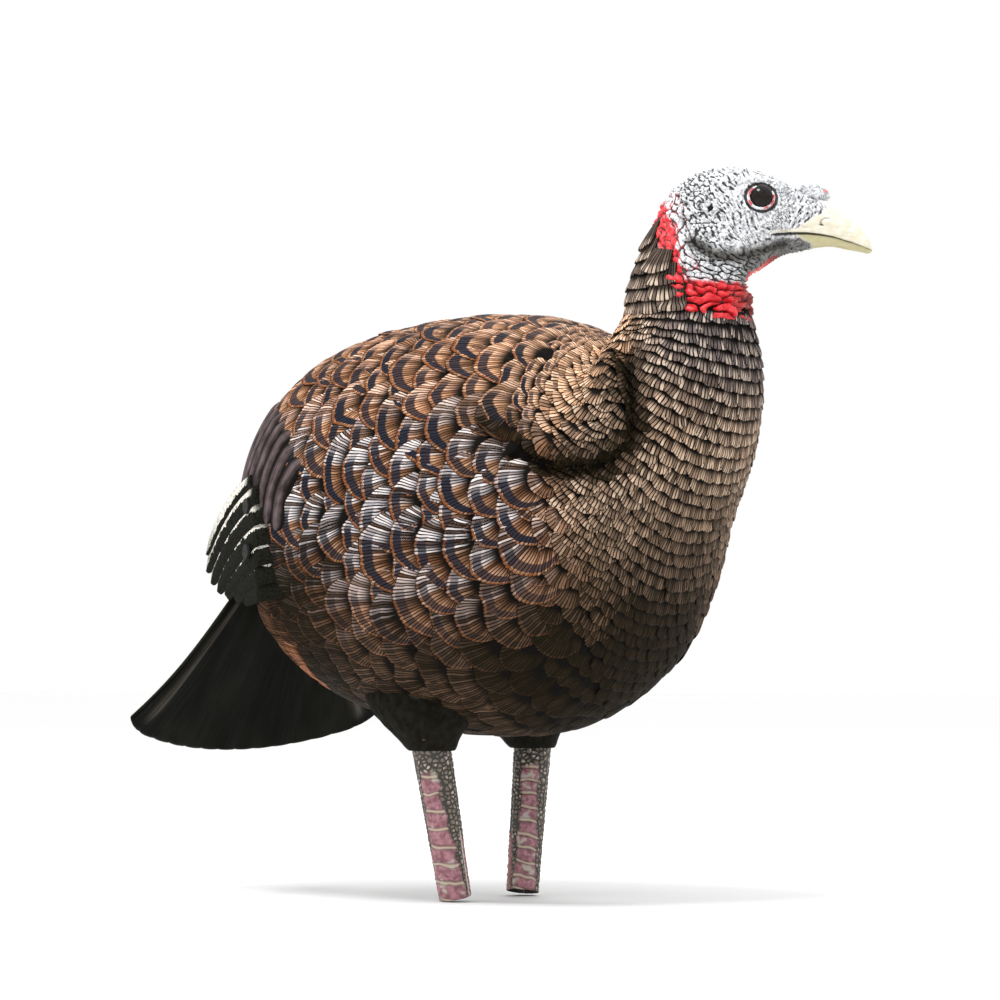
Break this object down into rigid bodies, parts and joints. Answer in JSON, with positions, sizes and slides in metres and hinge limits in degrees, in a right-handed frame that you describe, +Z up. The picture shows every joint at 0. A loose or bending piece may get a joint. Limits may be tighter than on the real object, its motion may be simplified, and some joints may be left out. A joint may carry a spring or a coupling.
{
  "type": "turkey decoy",
  "caption": "Standing hen turkey decoy: hollow moulded bird with a turning head, drooping tail and tubular legs on push-in ground stakes.",
  "frame": {"origin": "on the ground line, midway between the lower ends of the two leg tubes", "axes": "+X the way the breast faces, +Y the bird's left, +Z up"},
  "size_m": [0.4067, 0.2324, 0.4065],
  "materials": {
    "feathered_foam": "painted feather relief, satin barbs",
    "head_skin": "painted bare skin, fine wrinkles",
    "eye_gloss": "polished dark dome",
    "tail_dark": "smooth satin black green",
    "barred_feather": "painted black and white bars",
    "leg_print": "printed scales, semi gloss",
    "seal_rubber": "matt black",
    "zinc_steel": "zinc plated",
    "moulded_nylon": "plain moulded"
  },
  "bodies": {
    "decoy": {"body_shell": "feathered_foam", "left_leg_socket": "moulded_nylon", "left_socket_nut": "moulded_nylon", "left_stake_clip": "zinc_steel", "left_thigh_gasket": "seal_rubber", "left_wing_rivet_1": "moulded_nylon", "left_wing_rivet_2": "moulded_nylon", "left_wing_tip": "barred_feather", "leg_bridge": "moulded_nylon", "neck_bush": "moulded_nylon", "right_leg_socket": "moulded_nylon", "right_socket_nut": "moulded_nylon", "right_stake_clip": "zinc_steel", "right_thigh_gasket": "seal_rubber", "right_wing_rivet_1": "moulded_nylon", "right_wing_rivet_2": "moulded_nylon", "right_wing_tip": "barred_feather", "tail_fan": "tail_dark", "tail_screw_1": "zinc_steel", "tail_screw_2": "zinc_steel", "tail_socket": "moulded_nylon", "vent_plug": "seal_rubber"},
    "head": {"head_shell": "head_skin", "left_eye": "eye_gloss", "right_eye": "eye_gloss", "head_plug": "moulded_nylon", "head_bolt": "zinc_steel", "head_nut": "zinc_steel", "friction_washer": "seal_rubber"},
    "left_stake": {"left_stake": "zinc_steel"},
    "left_sleeve": {"left_leg_sleeve": "leg_print"},
    "right_stake": {"right_stake": "zinc_steel"},
    "right_sleeve": {"right_leg_sleeve": "leg_print"}
  },
  "joints": [
    {"name": "head_turn", "type": "hinge", "parent": "decoy", "child": "head", "pos_m": [0.134, 0, 0.324], "axis": [0, 0, 1], "range_deg": [-95, 25]},
    {"name": "left_stake_slide", "type": "slide", "parent": "decoy", "child": "left_stake", "axis": [0.0524, -0.1981, -0.9788], "range_m": [0, 0.15]},
    {"name": "left_sleeve_slide", "type": "slide", "parent": "decoy", "child": "left_sleeve", "axis": [0.0524, -0.1981, -0.9788], "range_m": [0, 0.03]},
    {"name": "right_stake_slide", "type": "slide", "parent": "decoy", "child": "right_stake", "axis": [0.0524, 0.1981, -0.9788], "range_m": [0, 0.15]},
    {"name": "right_sleeve_slide", "type": "slide", "parent": "decoy", "child": "right_sleeve", "axis": [0.0524, 0.1981, -0.9788], "range_m": [0, 0.03]}
  ]
}
